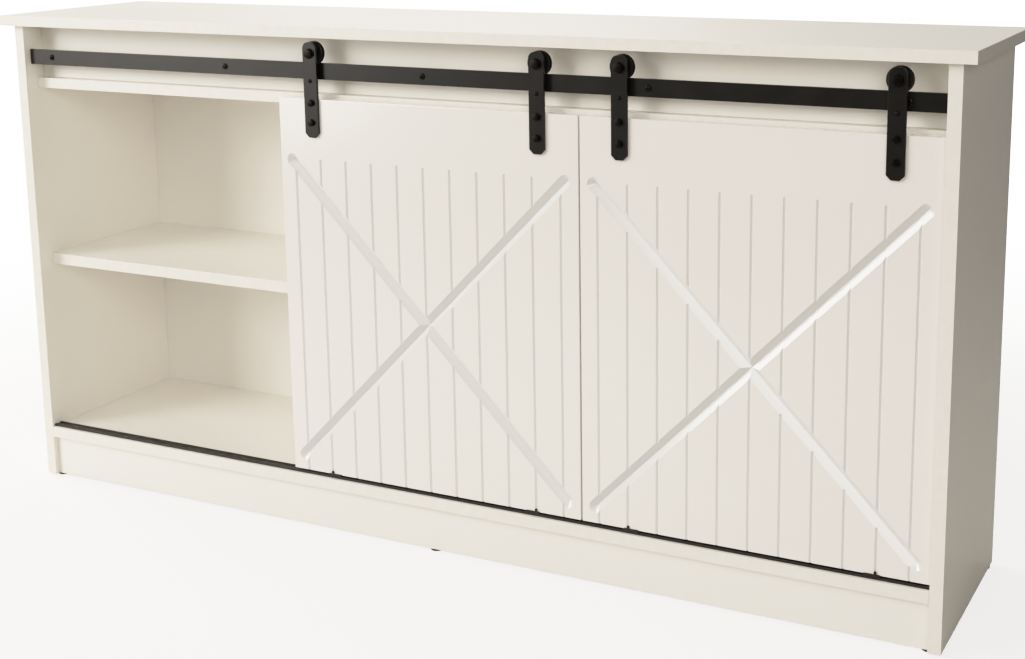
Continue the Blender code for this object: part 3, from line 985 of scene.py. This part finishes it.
# --- Door screws and guard pins ------------------------------------------------------------------
# Two hexagon wood screws hold each strap to its door. The small riveted pin above them reaches back
# under the rail, so that the door can't be lifted off.

SCREW_SHANK_RADIUS = 0.0024
SCREW_POINT = 0.0030
PIN_RADIUS = 0.0015

for door, side in HANGERS:
    strap_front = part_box(f"{door}_{side}_strap")[0].y
    for level in ("upper", "lower"):
        screw = f"{door}_{side}_{level}_screw"
        low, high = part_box(screw)
        axis = Vector(((low.x + high.x) / 2, strap_front, (low.z + high.z) / 2))
        shape = bmesh.new()
        hexagon(shape, axis, high.x - low.x, low.y, strap_front)
        shank_end = high.y - strap_front
        shank = [
            (0, -SHANK_INSET),
            (SCREW_SHANK_RADIUS, -SHANK_INSET),
            (SCREW_SHANK_RADIUS, shank_end - SCREW_POINT),
            (0, shank_end),
        ]
        turn(shape, shank, axis, steps=20)
        keep_piece(shape, f"{screw}_hexagon", black_oxide, door, [screw])
    pin = f"{door}_{side}_guard_pin"
    low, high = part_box(pin)
    axis = Vector(((low.x + high.x) / 2, strap_front, (low.z + high.z) / 2))
    shape = bmesh.new()
    head_radius = (high.x - low.x) / 2
    head_height = strap_front - low.y
    pin_length = high.y - strap_front
    turn(shape, dome_profile(head_radius, head_height, 0, PIN_RADIUS, pin_length), axis, steps=20)
    keep_piece(shape, f"{pin}_rivet", black_oxide, door, [pin])

# --- Bottom clips --------------------------------------------------------------------------------
# Black nylon angle clips under the doors' lower corners, each with a small ear that a pan-head
# screw pins to the door's face.

CLIP_LIP = 0.0016
CLIP_ROUNDING = 0.0003
CLIP_EAR_WIDTH = 0.0030
CLIP_SCREW_OFFSET = 0.180
CLIP_SCREW_LEVEL = 0.0040
CLIP_SCREW_RADIUS = 0.0018
CLIP_SCREW_HEIGHT = 0.0011
CLIP_SHANK_RADIUS = 0.0008
CLIP_SHANK_LENGTH = 0.0030
CLIP_GAP = 0.0003

clip_plastic = moulded_plastic("nylon_clip_black", 0.45, 0.0014)
for door in DOORS:
    panel_low, panel_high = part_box(f"{door}_panel")
    door_middle = (panel_low.x + panel_high.x) / 2
    plate_top = panel_low.z - CLIP_GAP
    for side, sign in (("left", -1), ("right", 1)):
        clip = f"{door}_{side}_clip"
        low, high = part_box(clip)
        section = (
            (low.y, low.z),
            (high.y, low.z),
            (high.y, plate_top),
            (low.y + CLIP_LIP, plate_top),
            (low.y + CLIP_LIP, high.z),
            (low.y, high.z),
        )
        shape = extrude_along_x(section, low.x, high.x - low.x)
        round_edges(shape, list(shape.edges), CLIP_ROUNDING, segments=2)
        screw_x = door_middle + sign * CLIP_SCREW_OFFSET
        screw_z = panel_low.z + CLIP_SCREW_LEVEL
        ear_front = low.y + CLIP_ROUNDING
        ear_top = screw_z + CLIP_SHANK_RADIUS
        ear_low = (screw_x - CLIP_EAR_WIDTH / 2, ear_front, low.z + CLIP_ROUNDING)
        ear_high = (screw_x + CLIP_EAR_WIDTH / 2, low.y + CLIP_LIP, ear_top)
        ear = box_shape(ear_low, ear_high)
        round_edges(ear, list(ear.edges), CLIP_ROUNDING, segments=2)
        keep_piece(shape, f"{clip}_moulding", clip_plastic, door, [clip])
        keep_piece(ear, f"{clip}_ear", clip_plastic, door)
        head = bmesh.new()
        profile = dome_profile(
            CLIP_SCREW_RADIUS, CLIP_SCREW_HEIGHT, 0, CLIP_SHANK_RADIUS, CLIP_SHANK_LENGTH
        )
        turn(head, profile, Vector((screw_x, ear_front, screw_z)), steps=20)
        keep_piece(head, f"{clip}_screw", black_oxide, door)

# --- Studio --------------------------------------------------------------------------------------
# Pale matt floor that fades into a white room. The key stands to the left in front, with large
# softboxes high in front, on the right, low on the left, high at the left and behind. The near one
# on the left puts a gleam in the doors' crossed grooves.

FLOOR_COLOUR = "#CFCDCA"
FLOOR_SHADE = "#CBC9C5"
FLOOR_CLOUDS = 0.6
FLOOR_REACH = 2.8
FLOOR_FADE = 2.0
FLOOR_LIFT = 0.36
LAMP_WARM = "#FFF9F0"
LAMP_WHITE = "#FFFBF4"
ROOM_COLOUR = "#FFFDFB"


def painted_floor():
    """Matt emulsion on a smooth floor: pale, with the faintest cloudiness."""
    paint = new_material("matt_emulsion_pale")
    places = add_node(paint, "ShaderNodeTexCoord", {})
    clouds = add_node(
        paint,
        "ShaderNodeTexNoise",
        {"Vector": (places, "Object"), "Scale": 1 / FLOOR_CLOUDS, "Detail": 3.0},
    )
    tone = add_node(
        paint,
        "ShaderNodeMix",
        {"Factor": (clouds, "Fac"), "A": linear(FLOOR_COLOUR), "B": linear(FLOOR_SHADE)},
        data_type="RGBA",
    )
    shader = add_node(
        paint,
        "ShaderNodeBsdfPrincipled",
        {"Base Color": (tone, "Result"), "Roughness": 0.85},
    )
    spread = add_node(
        paint,
        "ShaderNodeMapping",
        {"Vector": (places, "Object"), "Scale": (1 / FLOOR_REACH, 1 / FLOOR_REACH, 1.0)},
    )
    nearness = add_node(
        paint, "ShaderNodeTexGradient", {"Vector": (spread, "Vector")}, gradient_type="SPHERICAL"
    )
    fade = add_node(
        paint,
        "ShaderNodeMapRange",
        {"Value": (nearness, "Fac"), "From Max": FLOOR_FADE / FLOOR_REACH},
        interpolation_type="SMOOTHSTEP",
    )
    ray = add_node(paint, "ShaderNodeLightPath", {})
    lift = add_node(
        paint,
        "ShaderNodeMapRange",
        {"Value": (ray, "Is Camera Ray"), "To Min": 1.0, "To Max": 1 - FLOOR_LIFT},
    )
    coverage = add_node(
        paint,
        "ShaderNodeMath",
        {"Value": (fade, "Result"), "Value_001": (lift, "Result")},
        operation="MULTIPLY",
    )
    clear = add_node(paint, "ShaderNodeBsdfTransparent", {})
    faded = add_node(
        paint,
        "ShaderNodeMixShader",
        {"Fac": (coverage, "Value"), "Shader": (clear, "BSDF"), "Shader_001": (shader, "BSDF")},
    )
    add_node(paint, "ShaderNodeOutputMaterial", {"Surface": (faded, "Shader")})
    return paint


floor_shape = bmesh.new()
bmesh.ops.create_grid(floor_shape, x_segments=1, y_segments=1, size=FLOOR_REACH)
floor_mesh = bpy.data.meshes.new("floor")
floor_shape.to_mesh(floor_mesh)
floor_shape.free()
floor_mesh.materials.append(painted_floor())
floor = bpy.data.objects.new("floor", floor_mesh)
bpy.context.scene.collection.objects.link(floor)

middle = (cad_box[0] + cad_box[1]) / 2


def softbox(name, azimuth, elevation, distance, width, height, power, colour):
    """Rectangular light round the cabinet: azimuth 0 is in front and 90 to the left, in degrees."""
    lamp = bpy.data.lights.new(name, "AREA")
    lamp.shape = "RECTANGLE"
    lamp.size = width
    lamp.size_y = height
    lamp.energy = power
    lamp.color = linear(colour)[:3]
    light = bpy.data.objects.new(name, lamp)
    side = math.radians(azimuth)
    rise = math.radians(elevation)
    across = math.cos(rise)
    away = Vector((-math.sin(side) * across, -math.cos(side) * across, math.sin(rise)))
    light.location = middle + away * distance
    light.rotation_euler = away.to_track_quat("Z", "Y").to_euler()
    bpy.context.scene.collection.objects.link(light)


# Azimuth, elevation, distance, width, height, watts and colour of each light.
softbox("key_softbox", 38, 20, 8.0, 2.1, 2.1, 213, LAMP_WARM)
softbox("front_softbox", 2, 50, 5.0, 3.0, 2.5, 66, LAMP_WARM)
softbox("low_left_softbox", 43, 2, 5.0, 1.7, 1.3, 38, LAMP_WARM)
softbox("right_softbox", -38, 20, 5.0, 2.4, 2.0, 78, LAMP_WARM)
softbox("left_softbox", 100, 36, 7.0, 2.8, 2.8, 450, LAMP_WARM)
softbox("groove_softbox", 55, 21, 3.46, 1.0, 1.4, 42, LAMP_WHITE)
softbox("back_softbox", 150, 35, 5.0, 2.0, 2.0, 80, LAMP_WARM)

# The room gives little light, and shows as plain white round the floor.
ROOM_LIGHT = 0.09
ROOM_WHITE = 3.0

world = bpy.data.worlds.new("studio")
world.use_nodes = True
world.node_tree.nodes.clear()
ray = add_node(world, "ShaderNodeLightPath", {})
brightness = add_node(
    world,
    "ShaderNodeMapRange",
    {"Value": (ray, "Is Camera Ray"), "To Min": ROOM_LIGHT, "To Max": ROOM_WHITE},
)
room = add_node(
    world,
    "ShaderNodeBackground",
    {"Color": linear(ROOM_COLOUR), "Strength": (brightness, "Result")},
)
add_node(world, "ShaderNodeOutputWorld", {"Surface": (room, "Background")})
bpy.context.scene.world = world

# Bright whites roll off gently, as film does: each pair is light in and tone out.
ROLL_OFF = ((0.2, 0.2), (0.4, 0.4), (0.8, 0.69), (1.2, 0.84), (1.8, 0.94))

view = bpy.context.scene.view_settings
view.view_transform = "Standard"
view.use_curve_mapping = True
response = view.curve_mapping
response.white_level = (ROOM_WHITE, ROOM_WHITE, ROOM_WHITE)
for light_in, tone_out in ROLL_OFF:
    response.curves[3].points.new(light_in / ROOM_WHITE, tone_out)
response.update()

# The camera stands to the right of the doors, a little above the top, and looks slightly down.
CAMERA_PLACE = (1.201, -2.098, 1.005)
CAMERA_TURN = 26.78
CAMERA_TILT = 11.18
CAMERA_ROLL = -0.63
FOCAL_LENGTH = 55.51
SHIFT_ACROSS = -0.043
SHIFT_UP = -0.130

lens = bpy.data.cameras.new("camera")
lens.sensor_width = 36.0
lens.lens = FOCAL_LENGTH
lens.shift_x = SHIFT_ACROSS
lens.shift_y = SHIFT_UP
camera = bpy.data.objects.new("camera", lens)
camera.matrix_world = (
    Matrix.Translation(CAMERA_PLACE)
    @ Matrix.Rotation(math.radians(CAMERA_TURN), 4, "Z")
    @ Matrix.Rotation(math.radians(90 - CAMERA_TILT), 4, "X")
    @ Matrix.Rotation(math.radians(CAMERA_ROLL), 4, "Z")
)
bpy.context.scene.collection.objects.link(camera)
bpy.context.scene.camera = camera
